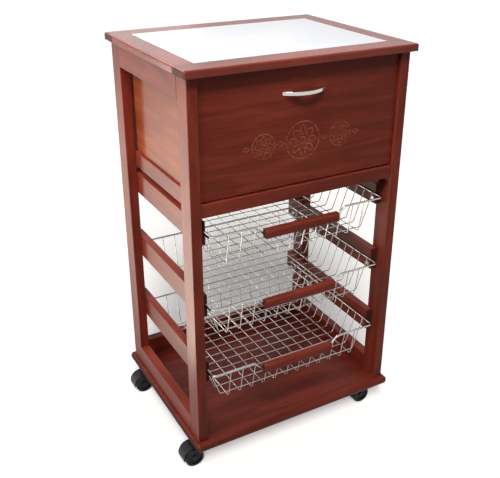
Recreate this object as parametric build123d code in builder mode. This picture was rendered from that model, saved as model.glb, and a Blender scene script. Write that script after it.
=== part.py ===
"""A rolling bread cart: a framed worktop over a drop-front bread box, wire baskets and a shelf on casters.

Millimetres. X runs to the right, Y to the back and Z up.
The origin is on the floor under the middle of the frame.
"""

import math
import os

from build123d import *

# Frame of posts and rails
frame_width = 453.0
frame_depth = 350.0
post_thick = 20.0
post_wide = 41.0
side_rail_thick = 20.0
apron_height = 45.0
bottom_rail_height = 40.0
rear_rail_thick = 20.0
edge_round = 1.5

# Worktop and bottom shelf
overhang_side = 8.5
overhang_front = 12.5
top_thick = 14.0
top_border_side = 38.0
top_border_front = 45.5
top_edge_round = 3.5
top_lower_round = 1.5
top_corner_round = 3.0
tongue_thick = 4.0
tongue_long = 6.0
tongue_level = 8.5
inset_gap = 0.1
inset_edge = 0.5
shelf_thick = 17.5
shelf_edge_round = 7.0
shelf_corner_round = 6.0

# Basket runners and box side rails, screwed to the posts' inner faces
runner_thick = 17.0
runner_height = 46.0
runner_setback = 24.0
lower_runner_height = 145.5
basket_pitch = 149.0
runner_box_gap = 13.0
box_rail_height = 33.5
screw_drop = 13.0

# Groove in which a basket's rim slides
groove_depth = 8.0
groove_headroom = 2.7
rim_below_middle = 1.5
rim_inset = 1.7
slide_gap = 0.3
stop_gap = 1.0

# Bread box
box_height = 217.4
side_panel_thick = 3.0
side_panel_setback = 5.0
panel_groove = 3.0
panel_gap = 0.2
back_panel_thick = 6.0
back_panel_setback = 9.0
back_panel_drop = 11.0
back_screw_drop = 9.0
floor_thick = 6.0
floor_side_gap = 0.5
front_rail_height = 25.5
front_rail_thick = 20.0
front_rail_setback = 3.0
front_rail_drop = 5.0

# Drop-front door
door_setback = 7.0
door_thick = 16.0
door_side_gap = 1.0
door_top_gap = 2.0
door_rail_gap = 0.5
door_back_gap = 1.0
door_edge_round = 1.0
door_pivot_inset = 4.0
pin_diameter = 4.0
pin_in_post = 10.0
pin_in_door = 9.0
pin_end_gap = 1.0
running_gap = 0.05

# Bow handle of the door
handle_drop = 49.4
handle_span = 88.0
handle_foot = 18.0
handle_strap = 5.0
handle_reach = 17.0
handle_tall = 7.0
handle_edge = 1.2
handle_screw_diameter = 4.0
handle_screw_inset = 12.5
handle_screw_grip = 6.0
handle_screw_head = 7.5
handle_screw_head_tall = 2.4
handle_screw_tip_gap = 1.0

# Magnetic catch under the worktop and its plate on the door
catch_width = 40.0
catch_depth = 14.0
catch_tall = 12.0
catch_gap = 0.5
catch_spigot_diameter = 8.0
catch_spigot = 6.0
catch_edge = 1.0
plate_width = 32.0
plate_tall = 10.0
plate_thick = 1.5

# Wire baskets
rim_diameter = 4.0
wire_diameter = 2.0
weld_depth = 0.1
basket_depth = 70.5
basket_lean_side = 25.0
basket_lean_end = 14.0
rim_front_setback = 4.0
rim_rear_setback = 15.0
rim_corner = 8.0
dip_bend = 5.0
wire_bend = 5.0
long_wire_pitch = 27.2
cross_wire_pitch = 25.0
long_wire_edge = 12.0
cross_wire_edge = 10.5

# Wooden handle bar of a basket, carried by the dip in the rim
bar_length = 162.0
bar_tall = 20.0
bar_deep = 16.0
bar_round = 6.0
bar_end_round = 2.0
bar_drop = 15.0
bar_wire_cover = 4.0
bar_end_wall = 8.0
bar_bore_gap = 0.1
bar_rebate_gap = 0.2
dip_clear = 3.0
dip_run = 16.0

# Dowels and screws
dowel_diameter = 8.0
dowel_length = 25.0
dowel_in_top = 8.0
dowel_spacing = 16.0
front_dowel_spacing = 12.0
dowel_chamfer = 0.8
hole_gap = 0.05
screw_diameter = 4.0
screw_head = 8.0
screw_length = 32.0
screw_point = 4.0

# Casters
caster_height = 55.0
caster_inset_side = 17.5
caster_inset_front = 37.0
plate_size = 42.0
plate_steel = 2.5
plate_corner = 5.0
plate_hole_spacing = 30.0
stem_diameter = 6.0
stem_length = 18.0
stem_end_gap = 1.0
wheel_diameter = 40.0
wheel_wide = 14.0
wheel_tread_round = 2.5
wheel_dish_diameter = 28.0
wheel_dish = 2.5
wheel_hub_diameter = 11.0
web_thick = 9.0
web_gap = 1.0
web_diameter = 30.0
axle_diameter = 5.0
axle_end_cap = 3.0
axle_end_gap = 0.2
caster_trail = 19.7
hood_gap = 1.2
hood_wall = 1.8
hood_wide = 30.0
hood_edge = 1.2
hood_tilt = 30.0
hood_cut = 7.9
boss_diameter = 18.0
boss_gap = 1.0
caster_screw_diameter = 3.5
caster_screw_head = 7.0
caster_screw_head_tall = 2.0
caster_screw_grip = 10.0
caster_screw_tip_gap = 1.0
caster_hole_gap = 0.25

# Levels, from the floor up
shelf_base = caster_height
shelf_top = shelf_base + shelf_thick
lower_runner = shelf_top + lower_runner_height
runner_levels = {
    "lower": lower_runner,
    "middle": lower_runner + basket_pitch,
    "upper": lower_runner + 2 * basket_pitch,
}
box_rail_base = runner_levels["upper"] + runner_height / 2 + runner_box_gap
box_rail_top = box_rail_base + box_rail_height
box_rail_middle = box_rail_base + box_rail_height / 2
back_screw_z = box_rail_middle - back_screw_drop
front_rail_top = box_rail_top - front_rail_drop
front_rail_middle = front_rail_top - front_rail_height / 2
post_top = box_rail_top + box_height
post_length = post_top - shelf_top
apron_middle = post_top - apron_height / 2
bottom_rail_middle = shelf_top + bottom_rail_height / 2

# Places across the frame
outer_x = frame_width / 2
inner_x = outer_x - post_thick
post_x = outer_x - post_thick / 2
side_rail_x = outer_x - side_rail_thick / 2
runner_inner = inner_x - runner_thick
runner_x = inner_x - runner_thick / 2
side_panel_outer = inner_x - side_panel_setback
side_panel_inner = side_panel_outer - side_panel_thick

# Places along the frame
outer_y = frame_depth / 2
post_y = outer_y - post_wide / 2
inner_y = outer_y - post_wide
runner_front = -outer_y + runner_setback
back_panel_rear = outer_y - back_panel_setback
back_panel_front = back_panel_rear - back_panel_thick
front_rail_front = -outer_y + front_rail_setback
front_rail_y = front_rail_front + front_rail_thick / 2
rear_rail_y = outer_y - rear_rail_thick / 2
door_front = -outer_y + door_setback
door_back = door_front + door_thick
door_base = front_rail_top + door_rail_gap
door_top = post_top - door_top_gap
door_pivot_y = door_front + door_pivot_inset
door_pivot_z = door_base + door_pivot_inset
box_front = door_back + door_back_gap
handle_z = post_top - handle_drop

# Overall sizes of the worktop and the shelf
board_width = frame_width + 2 * overhang_side
board_depth = frame_depth + 2 * overhang_front
inset_width = board_width - 2 * top_border_side
inset_depth = board_depth - 2 * top_border_front

# Radii of holes and pins
dowel_hole = dowel_diameter / 2 + hole_gap
screw_hole = screw_diameter / 2 + hole_gap
screw_sink = screw_head / 2 + hole_gap
pin_hole = pin_diameter / 2 + running_gap

SIDES = {"left": -1, "right": 1}
ENDS = {"front": -1, "rear": 1}

os.makedirs("parts", exist_ok=True)


def save(piece, name):
    """Label a finished piece and write it under its own name."""
    piece.label = name
    export_step(piece, f"parts/{name}.step")


def facing(point, normal):
    """A plane at a point, with its normal along the given direction."""
    return Plane(origin=point, z_dir=normal)


def rounded_bar(size, centre, axis, radius):
    """A bar whose edges along one axis are rounded, built into the part being made."""
    with Locations(centre):
        Box(*size)
    fillet(edges(Select.LAST).filter_by(axis), radius)


def dowel_pair(x, y, middle, spacing):
    """Two dowel places, one above the other."""
    return [(x, y, middle - spacing / 2), (x, y, middle + spacing / 2)]


# Places of the posts
post_places = [(side * post_x, end * post_y) for side in SIDES.values() for end in ENDS.values()]

# Screw places along the runners and the box rails, on the posts
front_screw_y = (runner_front - inner_y) / 2
box_screw_y = (inner_y + back_panel_front) / 2
runner_screw_rows = {level: (front_screw_y, post_y) for level in runner_levels}


# Corner posts, drilled for the rails' dowels, the runners' screws and the door's pins
for end_name, end in ENDS.items():
    for side_name, side in SIDES.items():
        with BuildPart() as post:
            post_middle = (side * post_x, end * post_y, shelf_top + post_length / 2)
            rounded_bar((post_thick, post_wide, post_length), post_middle, Axis.Z, edge_round)
            rail_dowels = dowel_pair(side * side_rail_x, end * inner_y, apron_middle, dowel_spacing)
            rail_dowels += dowel_pair(side * side_rail_x, end * inner_y, bottom_rail_middle, dowel_spacing)
            with Locations(*[facing(place, (0, -end, 0)) for place in rail_dowels]):
                Hole(dowel_hole, dowel_length / 2)
            if end_name == "front":
                cross_rail_at = (front_rail_y, front_rail_middle, front_dowel_spacing)
            else:
                cross_rail_at = (rear_rail_y, bottom_rail_middle, dowel_spacing)
            cross_dowels = dowel_pair(side * inner_x, *cross_rail_at)
            with Locations(*[facing(place, (-side, 0, 0)) for place in cross_dowels]):
                Hole(dowel_hole, dowel_length / 2)
            with Locations(facing((side * post_x, end * post_y, post_top), (0, 0, 1))):
                Hole(dowel_hole, dowel_length - dowel_in_top)
            with Locations(facing((side * post_x, end * post_y, shelf_top), (0, 0, -1))):
                Hole(screw_hole, screw_length - shelf_thick)
            row = 0 if end_name == "front" else 1
            runner_screws = [
                (side * inner_x, runner_screw_rows[level][row], z - screw_drop)
                for level, z in runner_levels.items()
            ]
            box_screw = (side * inner_x, (front_screw_y, box_screw_y)[row], box_rail_middle)
            with Locations(*[facing(place, (-side, 0, 0)) for place in runner_screws + [box_screw]]):
                Hole(screw_hole, screw_length - runner_thick)
            if end_name == "front":
                with Locations(facing((side * inner_x, door_pivot_y, door_pivot_z), (-side, 0, 0))):
                    Hole(pin_diameter / 2 + hole_gap, pin_in_post)
        save(post.part, f"{end_name}_{side_name}_post")


# Rails between the posts at each side: apron under the worktop and bottom rail on the shelf
for side_name, side in SIDES.items():
    for rail_name, middle, height in (
        ("apron", apron_middle, apron_height),
        ("bottom_rail", bottom_rail_middle, bottom_rail_height),
    ):
        with BuildPart() as side_rail:
            rail_size = (side_rail_thick, 2 * inner_y, height)
            rounded_bar(rail_size, (side * side_rail_x, 0, middle), Axis.Y, edge_round)
            for end in ENDS.values():
                end_dowels = dowel_pair(side * side_rail_x, end * inner_y, middle, dowel_spacing)
                with Locations(*[facing(place, (0, end, 0)) for place in end_dowels]):
                    Hole(dowel_hole, dowel_length / 2)
        save(side_rail.part, f"{side_name}_{rail_name}")


# Cross rails between the posts: front rail under the door and rear rail on the shelf
for rail_name, y, thick, middle, height, spacing in (
    ("front_rail", front_rail_y, front_rail_thick, front_rail_middle, front_rail_height, front_dowel_spacing),
    ("rear_bottom_rail", rear_rail_y, rear_rail_thick, bottom_rail_middle, bottom_rail_height, dowel_spacing),
):
    with BuildPart() as cross_rail:
        rounded_bar((2 * inner_x, thick, height), (0, y, middle), Axis.X, edge_round)
        for side in SIDES.values():
            end_dowels = dowel_pair(side * inner_x, y, middle, spacing)
            with Locations(*[facing(place, (side, 0, 0)) for place in end_dowels]):
                Hole(dowel_hole, dowel_length / 2)
    save(cross_rail.part, rail_name)


# Basket rims: half width, ends and the wire sizes
rim_radius = rim_diameter / 2
wire_radius = wire_diameter / 2
rim_half = runner_inner + rim_inset
rim_front = -outer_y + rim_front_setback
rim_rear = outer_y - rim_rear_setback

# Basket runners, grooved on the inner face from the front end to a stop behind the rim
groove_rear = rim_rear + rim_radius + stop_gap
for level, runner_z in runner_levels.items():
    groove_base = runner_z - rim_below_middle - rim_radius - slide_gap
    groove_top = runner_z - rim_below_middle + rim_radius + groove_headroom
    for side_name, side in SIDES.items():
        with BuildPart() as runner:
            runner_middle = (side * runner_x, (runner_front + outer_y) / 2, runner_z)
            runner_size = (runner_thick, outer_y - runner_front, runner_height)
            rounded_bar(runner_size, runner_middle, Axis.Y, edge_round)
            groove_x = side * (runner_inner + groove_depth / 2)
            with Locations((groove_x, (runner_front + groove_rear) / 2, (groove_base + groove_top) / 2)):
                Box(groove_depth, groove_rear - runner_front, groove_top - groove_base, mode=Mode.SUBTRACT)
            screw_places = [
                (side * runner_inner, y, runner_z - screw_drop) for y in runner_screw_rows[level]
            ]
            with Locations(*[facing(place, (-side, 0, 0)) for place in screw_places]):
                CounterSinkHole(screw_hole, screw_sink, counter_sink_angle=90)
        save(runner.part, f"{side_name}_{level}_runner")


# Box side rails, with a groove in the top for the side panel
for side_name, side in SIDES.items():
    panel_x = side * (side_panel_outer - side_panel_thick / 2)
    with BuildPart() as box_rail:
        rail_size = (runner_thick, back_panel_front - runner_front, box_rail_height)
        rail_middle = (side * runner_x, (runner_front + back_panel_front) / 2, box_rail_middle)
        rounded_bar(rail_size, rail_middle, Axis.Y, edge_round)
        with Locations((panel_x, (box_front + back_panel_front) / 2, box_rail_top - panel_groove / 2)):
            Box(
                side_panel_thick + 2 * panel_gap,
                back_panel_front - box_front,
                panel_groove,
                mode=Mode.SUBTRACT,
            )
        screw_places = [(side * runner_inner, y, box_rail_middle) for y in (front_screw_y, box_screw_y)]
        with Locations(*[facing(place, (-side, 0, 0)) for place in screw_places]):
            CounterSinkHole(screw_hole, screw_sink, counter_sink_angle=90)
        with Locations(facing((side * runner_x, back_panel_front, back_screw_z), (0, 1, 0))):
            Hole(screw_hole, screw_length - back_panel_thick)
    save(box_rail.part, f"{side_name}_box_rail")

    # Side panel, standing in that groove and in one under the worktop, with battens to the posts
    with BuildPart() as side_panel:
        panel_base = box_rail_top - panel_groove
        panel_head = post_top + panel_groove - panel_gap
        with Locations((panel_x, (box_front + back_panel_front) / 2, (panel_base + panel_head) / 2)):
            Box(side_panel_thick, back_panel_front - box_front, panel_head - panel_base)
        batten_x = side * (side_panel_outer + inner_x) / 2
        for batten_front, batten_rear in ((box_front, -inner_y), (inner_y, back_panel_front)):
            batten_y = (batten_front + batten_rear) / 2
            with Locations((batten_x, batten_y, (box_rail_top + post_top) / 2)):
                Box(side_panel_setback, batten_rear - batten_front, post_top - box_rail_top)
    save(side_panel.part, f"{side_name}_side_panel")


# Floor of the bread box, on the box rails between the side panels
with BuildPart() as box_floor:
    with Locations((0, (box_front + back_panel_front) / 2, box_rail_top + floor_thick / 2)):
        Box(2 * (side_panel_inner - floor_side_gap), back_panel_front - box_front, floor_thick)
save(box_floor.part, "box_floor")


# Back of the bread box, between the rear posts; its screws enter the box rails' ends below the rails' own
with BuildPart() as back_panel:
    back_panel_base = box_rail_base - back_panel_drop
    with Locations((0, (back_panel_front + back_panel_rear) / 2, (back_panel_base + post_top) / 2)):
        Box(2 * inner_x, back_panel_thick, post_top - back_panel_base)
    back_screws = [(side * runner_x, back_panel_rear, back_screw_z) for side in SIDES.values()]
    with Locations(*[facing(place, (0, 1, 0)) for place in back_screws]):
        CounterSinkHole(screw_hole, screw_sink, counter_sink_angle=90)
save(back_panel.part, "box_back_panel")


# Worktop border as one blank: rounded outside, grooved for the inset's tongue and below for the side panels
with BuildPart() as border:
    with Locations((0, 0, post_top + top_thick / 2)):
        Box(board_width, board_depth, top_thick)
    fillet(edges().filter_by(Axis.Z), top_corner_round)
    fillet(faces().sort_by(Axis.Z)[-1].edges(), top_edge_round)
    fillet(faces().sort_by(Axis.Z)[0].edges(), top_lower_round)
    with Locations((0, 0, post_top + top_thick / 2)):
        Box(inset_width, inset_depth, top_thick, mode=Mode.SUBTRACT)
    with Locations((0, 0, post_top + tongue_level)):
        Box(
            inset_width + 2 * tongue_long,
            inset_depth + 2 * tongue_long,
            tongue_thick,
            mode=Mode.SUBTRACT,
        )
    for side in SIDES.values():
        panel_x = side * (side_panel_outer - side_panel_thick / 2)
        with Locations((panel_x, (box_front + back_panel_front) / 2, post_top + panel_groove / 2)):
            Box(
                side_panel_thick + 2 * panel_gap,
                back_panel_front - box_front + 2 * panel_gap,
                panel_groove,
                mode=Mode.SUBTRACT,
            )
    with Locations(*[facing((x, y, post_top), (0, 0, -1)) for x, y in post_places]):
        Hole(dowel_hole, dowel_in_top)
    catch_front = door_back + catch_gap
    spigot_y = catch_front + catch_spigot_diameter / 2 + catch_edge
    with Locations(facing((0, spigot_y, post_top), (0, 0, -1))):
        Hole(catch_spigot_diameter / 2 + hole_gap, catch_spigot)

# The blank sawn into its four rails: front and rear at full width, left and right between them
for end_name, end in ENDS.items():
    with BuildPart() as end_rail:
        add(border.part)
        split(bisect_by=facing((0, end * inset_depth / 2, 0), (0, end, 0)), keep=Keep.TOP)
    save(end_rail.part, f"top_{end_name}_rail")

for side_name, side in SIDES.items():
    with BuildPart() as top_side_rail:
        add(border.part)
        split(bisect_by=facing((0, 0, 0), (side, 0, 0)), keep=Keep.TOP)
        for end in ENDS.values():
            split(bisect_by=facing((0, end * inset_depth / 2, 0), (0, -end, 0)), keep=Keep.TOP)
    save(top_side_rail.part, f"top_{side_name}_rail")


# White inset, flush in the border and held by a tongue all round
with BuildPart() as worktop_inset:
    with Locations((0, 0, post_top + top_thick / 2)):
        Box(inset_width - 2 * inset_gap, inset_depth - 2 * inset_gap, top_thick)
    chamfer(faces().sort_by(Axis.Z)[-1].edges(), inset_edge)
    with Locations((0, 0, post_top + tongue_level)):
        Box(
            inset_width + 2 * (tongue_long - inset_gap),
            inset_depth + 2 * (tongue_long - inset_gap),
            tongue_thick - 2 * inset_gap,
        )
    with Locations(facing((0, spigot_y, post_top), (0, 0, -1))):
        Hole(catch_spigot_diameter / 2 + hole_gap, catch_spigot)
save(worktop_inset.part, "worktop_inset")


# Places of the casters' swivel axes and of the screws that hold their plates
caster_x = outer_x - caster_inset_side
caster_y = outer_y - caster_inset_front
caster_places = {
    f"{end_name}_{side_name}": (side * caster_x, end * caster_y)
    for end_name, end in ENDS.items()
    for side_name, side in SIDES.items()
}
plate_base = shelf_base - plate_steel
plate_corners = [(i * plate_hole_spacing / 2, j * plate_hole_spacing / 2) for i in (-1, 1) for j in (-1, 1)]
caster_screw_places = [(x + i, y + j) for x, y in caster_places.values() for i, j in plate_corners]

# Bottom shelf, with its screws into the posts sunk from below and pilot holes for the casters
with BuildPart() as bottom_shelf:
    with Locations((0, 0, shelf_base + shelf_thick / 2)):
        Box(board_width, board_depth, shelf_thick)
    fillet(edges().filter_by(Axis.Z), shelf_corner_round)
    fillet(faces().sort_by(Axis.Z)[-1].edges(), shelf_edge_round)
    fillet(faces().sort_by(Axis.Z)[0].edges(), shelf_edge_round)
    with Locations(*[facing((x, y, shelf_base), (0, 0, -1)) for x, y in post_places]):
        CounterSinkHole(screw_hole, screw_sink, counter_sink_angle=90)
    with Locations(*[facing((x, y, shelf_base), (0, 0, -1)) for x, y in caster_screw_places]):
        Hole(caster_screw_diameter / 2 + hole_gap, caster_screw_grip)
save(bottom_shelf.part, "bottom_shelf")


# One wood screw, head at the origin and point along -Z
with BuildPart() as wood_screw:
    with BuildSketch(Plane.XZ):
        with BuildLine():
            sunk = screw_head / 2 - screw_diameter / 2
            Polyline(
                (0, 0),
                (screw_head / 2, 0),
                (screw_diameter / 2, -sunk),
                (screw_diameter / 2, screw_point - screw_length),
                (0, -screw_length),
                close=True,
            )
        make_face()
    revolve(axis=Axis.Z)

# All the frame's wood screws: in the runners, the box rails, the back panel and the shelf
frame_screw_planes = [facing((x, y, shelf_base), (0, 0, -1)) for x, y in post_places]
frame_screw_planes += [facing(place, (0, 1, 0)) for place in back_screws]
for side in SIDES.values():
    for level, runner_z in runner_levels.items():
        for y in runner_screw_rows[level]:
            frame_screw_planes.append(facing((side * runner_inner, y, runner_z - screw_drop), (-side, 0, 0)))
    for y in (front_screw_y, box_screw_y):
        frame_screw_planes.append(facing((side * runner_inner, y, box_rail_middle), (-side, 0, 0)))
with BuildPart() as frame_screws:
    with Locations(*frame_screw_planes):
        add(wood_screw.part)
save(frame_screws.part, "frame_screws")


# One dowel, its middle at the origin, along Z
with BuildPart() as dowel:
    Cylinder(dowel_diameter / 2, dowel_length)
    chamfer(edges().filter_by(GeomType.CIRCLE), dowel_chamfer)

# All the frame's dowels: side rails, cross rails and post heads
dowel_planes = []
for side in SIDES.values():
    for end in ENDS.values():
        for middle in (apron_middle, bottom_rail_middle):
            pair = dowel_pair(side * side_rail_x, end * inner_y, middle, dowel_spacing)
            dowel_planes += [facing(place, (0, end, 0)) for place in pair]
        head_middle = post_top + dowel_in_top - dowel_length / 2
        dowel_planes.append(facing((side * post_x, end * post_y, head_middle), (0, 0, 1)))
    pair = dowel_pair(side * inner_x, front_rail_y, front_rail_middle, front_dowel_spacing)
    pair += dowel_pair(side * inner_x, rear_rail_y, bottom_rail_middle, dowel_spacing)
    dowel_planes += [facing(place, (side, 0, 0)) for place in pair]
with BuildPart() as frame_dowels:
    with Locations(*dowel_planes):
        add(dowel.part)
save(frame_dowels.part, "frame_dowels")


# Drop-front door: a board whose front bottom edge is rounded about its pivot
door_half = inner_x - door_side_gap
handle_screw_x = handle_span / 2 - handle_screw_inset
with BuildPart() as door_panel:
    with BuildSketch(Plane.YZ.offset(-door_half)) as door_section:
        with Locations(((door_front + door_back) / 2, (door_base + door_top) / 2)):
            Rectangle(door_thick, door_top - door_base)
        bottom_corners = door_section.vertices().group_by(Axis.Y)[0].sort_by(Axis.X)
        fillet(bottom_corners[-1], door_edge_round)
        bottom_corners = door_section.vertices().group_by(Axis.Y)[0].sort_by(Axis.X)
        fillet(bottom_corners[0], door_pivot_inset)
    extrude(amount=2 * door_half)
    fillet(faces().sort_by(Axis.Z)[-1].edges(), door_edge_round)
    for side in SIDES.values():
        with Locations(facing((side * door_half, door_pivot_y, door_pivot_z), (side, 0, 0))):
            Hole(pin_hole, pin_in_door + pin_end_gap)
    with Locations(*[facing((i * handle_screw_x, door_back, handle_z), (0, 1, 0)) for i in (-1, 1)]):
        Hole(handle_screw_diameter / 2 + hole_gap)
    plate_z = post_top - catch_tall / 2
    with Locations((0, door_back - plate_thick / 2, plate_z)):
        Box(plate_width, plate_thick, plate_tall, mode=Mode.SUBTRACT)
save(door_panel.part, "door_panel")


# Pivot pins, pressed into the front posts and running in the door's side edges
with BuildPart() as pivot_pins:
    for side in SIDES.values():
        pin_inner = door_half - pin_in_door
        pin_outer = inner_x + pin_in_post
        pin_middle = (side * (pin_inner + pin_outer) / 2, door_pivot_y, door_pivot_z)
        with Locations(facing(pin_middle, (side, 0, 0))):
            Cylinder(pin_diameter / 2, pin_outer - pin_inner)
save(pivot_pins.part, "door_pivot_pins")


# Bow handle: an outer and an inner arc in plan, which leave a broad foot at each end
with BuildPart() as door_handle:
    with BuildSketch(Plane(origin=(0, door_front, handle_z - handle_tall / 2))):
        with BuildLine():
            half = handle_span / 2
            inner = half - handle_foot
            ThreePointArc((-half, 0), (0, -handle_reach), (half, 0))
            Line((half, 0), (inner, 0))
            ThreePointArc((inner, 0), (0, handle_strap - handle_reach), (-inner, 0))
            Line((-inner, 0), (-half, 0))
        make_face()
    extrude(amount=handle_tall)
    fillet(edges().filter_by(GeomType.CIRCLE), handle_edge)
    with Locations(*[facing((i * handle_screw_x, door_front, handle_z), (0, 1, 0)) for i in (-1, 1)]):
        Hole(handle_screw_diameter / 2 + hole_gap, handle_screw_grip)
save(door_handle.part, "door_handle")


# Screws that hold the handle, from inside the door
with BuildPart() as handle_screws:
    for i in (-1, 1):
        seat = (i * handle_screw_x, door_back, handle_z)
        with Locations(facing(seat, (0, 1, 0))):
            Cylinder(
                handle_screw_head / 2,
                handle_screw_head_tall,
                align=(Align.CENTER, Align.CENTER, Align.MIN),
            )
        with Locations(facing(seat, (0, -1, 0))):
            Cylinder(
                handle_screw_diameter / 2,
                door_thick + handle_screw_grip - handle_screw_tip_gap,
                align=(Align.CENTER, Align.CENTER, Align.MIN),
            )
save(handle_screws.part, "handle_screws")


# Magnetic catch, plugged into the worktop's underside just behind the door
with BuildPart() as door_catch:
    catch_middle = (0, catch_front + catch_depth / 2, post_top - catch_tall / 2)
    rounded_bar((catch_width, catch_depth, catch_tall), catch_middle, Axis.Z, edge_round)
    with Locations((0, spigot_y, post_top)):
        Cylinder(catch_spigot_diameter / 2, catch_spigot, align=(Align.CENTER, Align.CENTER, Align.MIN))
save(door_catch.part, "door_catch")


# Steel plate let into the door, facing the catch
with BuildPart() as catch_plate:
    with Locations((0, door_back - plate_thick / 2, plate_z)):
        Box(plate_width, plate_thick, plate_tall)
save(catch_plate.part, "catch_plate")


# Wire of a basket, swept along straight runs joined by bends
def wire_along(points, bend, radius, close=False):
    """A round wire along straight runs and tangent bends, built into the part being made."""
    with BuildLine() as route:
        FilletPolyline(*points, radius=bend, close=close)
    with BuildSketch(Plane(origin=route.line @ 0, z_dir=route.line % 0)) as section:
        Circle(radius)
    sweep(section.sketch, path=route.line)


def rim_height_at(x, rim_z):
    """Height of the front rim's middle line at a place across the basket, through its dip."""
    along_dip = (abs(x) - dip_inner) / dip_run
    return rim_z - bar_drop * (1 - min(max(along_dip, 0), 1))


def pattern(length, pitch, edge):
    """Evenly pitched places, centred on zero, as many as a length holds inside its edges."""
    count = int((length - 2 * edge) / pitch) + 1
    return [(i - (count - 1) / 2) * pitch for i in range(count)]


dip_inner = bar_length / 2 + dip_clear
dip_outer = dip_inner + dip_run
wire_side = rim_half - rim_radius - wire_radius
wire_front = rim_front + rim_radius + wire_radius
wire_rear = rim_rear - rim_radius - wire_radius
floor_half = wire_side - basket_lean_side
floor_front = wire_front + basket_lean_end
floor_rear = wire_rear - basket_lean_end
cross_above_long = wire_diameter - weld_depth
floor_middle = (floor_front + floor_rear) / 2
cross_rows = [floor_middle + y for y in pattern(floor_rear - floor_front, cross_wire_pitch, cross_wire_edge)]
long_rows = pattern(2 * floor_half, long_wire_pitch, long_wire_edge)

for level, runner_z in runner_levels.items():
    rim_z = runner_z - rim_below_middle
    dip_z = rim_z - bar_drop
    long_z = rim_z - basket_depth
    cross_z = long_z + cross_above_long
    wire_end = rim_z + wire_radius

    # Rim: a closed wire frame that dips at the front to carry the handle bar
    with BuildPart() as basket_rim:
        rim_route = [
            (-rim_half, rim_rear, rim_z),
            (-rim_half, rim_front, rim_z),
            (-dip_outer, rim_front, rim_z),
            (-dip_inner, rim_front, dip_z),
            (dip_inner, rim_front, dip_z),
            (dip_outer, rim_front, rim_z),
            (rim_half, rim_front, rim_z),
            (rim_half, rim_rear, rim_z),
        ]
        rim_bends = [rim_corner, rim_corner, dip_bend, dip_bend, dip_bend, dip_bend, rim_corner, rim_corner]
        wire_along(rim_route, rim_bends, rim_radius, close=True)
    save(basket_rim.part, f"{level}_basket_rim")

    # Cross wires: from one side of the rim down, across the floor and up to the other side
    with BuildPart() as cross_wire:
        cross_route = [
            (-wire_side, 0, wire_end),
            (-floor_half, 0, cross_z),
            (floor_half, 0, cross_z),
            (wire_side, 0, wire_end),
        ]
        wire_along(cross_route, wire_bend, wire_radius)
    with BuildPart() as cross_wires:
        with Locations(*[(0, y, 0) for y in cross_rows]):
            add(cross_wire.part)
    save(cross_wires.part, f"{level}_basket_cross_wires")

    # Long wires: from the front rim or its dip down, back along the floor and up to the rear rim
    with BuildPart() as long_wires:
        for x in long_rows:
            long_route = [
                (x, wire_front, rim_height_at(x, rim_z) + wire_radius),
                (x, floor_front, long_z),
                (x, floor_rear, long_z),
                (x, wire_rear, wire_end),
            ]
            wire_along(long_route, wire_bend, wire_radius)
    save(long_wires.part, f"{level}_basket_long_wires")

    # Handle bar: bored for the rim at its ends and rebated behind for the wires that end on it
    with BuildPart() as handle_bar:
        bar_back = rim_front + bar_wire_cover
        bar_middle_y = bar_back - bar_deep / 2
        with BuildSketch(Plane.YZ.offset(-bar_length / 2)):
            with Locations((bar_middle_y, dip_z)):
                RectangleRounded(bar_deep, bar_tall, bar_round)
        extrude(amount=bar_length)
        fillet(faces().filter_by(Axis.X).edges(), bar_end_round)
        bore_radius = rim_radius + bar_bore_gap
        with Locations(facing((-bar_length / 2, rim_front, dip_z), (-1, 0, 0))):
            Hole(bore_radius, bar_length)
        rebate_front = rim_front - rim_radius - bar_rebate_gap
        rebate_top = dip_z + rim_radius + bar_rebate_gap
        rebate_base = dip_z - bar_tall / 2
        with Locations((0, (rebate_front + bar_back) / 2, (rebate_base + rebate_top) / 2)):
            Box(
                bar_length - 2 * bar_end_wall,
                bar_back - rebate_front,
                rebate_top - rebate_base,
                mode=Mode.SUBTRACT,
            )
    save(handle_bar.part, f"{level}_basket_handle")


# Caster plates: a steel plate under the shelf with the swivel pin riveted to it
stem_tip = plate_base - stem_length
with BuildPart() as caster_plates:
    for x, y in caster_places.values():
        with BuildSketch(Plane.XY.offset(plate_base)):
            with Locations((x, y)):
                RectangleRounded(plate_size, plate_size, plate_corner)
            with Locations(*[(x + i, y + j) for i, j in plate_corners]):
                Circle(caster_screw_diameter / 2 + caster_hole_gap, mode=Mode.SUBTRACT)
        extrude(amount=plate_steel)
        with Locations((x, y, stem_tip)):
            Cylinder(stem_diameter / 2, stem_length, align=(Align.CENTER, Align.CENTER, Align.MIN))
save(caster_plates.part, "caster_plates")


# Screws that hold the caster plates, heads down
with BuildPart() as caster_screws:
    with Locations(*[(x, y, plate_base) for x, y in caster_screw_places]):
        Cylinder(
            caster_screw_head / 2,
            caster_screw_head_tall,
            align=(Align.CENTER, Align.CENTER, Align.MAX),
        )
        Cylinder(
            caster_screw_diameter / 2,
            plate_steel + caster_screw_grip - caster_screw_tip_gap,
            align=(Align.CENTER, Align.CENTER, Align.MIN),
        )
save(caster_screws.part, "caster_screws")


# Casters: each trails to the left, with its wheels' axle along Y
wheel_radius = wheel_diameter / 2
wheel_inner = web_thick / 2 + web_gap
wheel_outer = wheel_inner + wheel_wide
cavity_radius = wheel_radius + hood_gap
hood_radius = cavity_radius + hood_wall
hood_half = hood_wide / 2
boss_base = wheel_radius + cavity_radius
boss_top = plate_base - boss_gap

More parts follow.
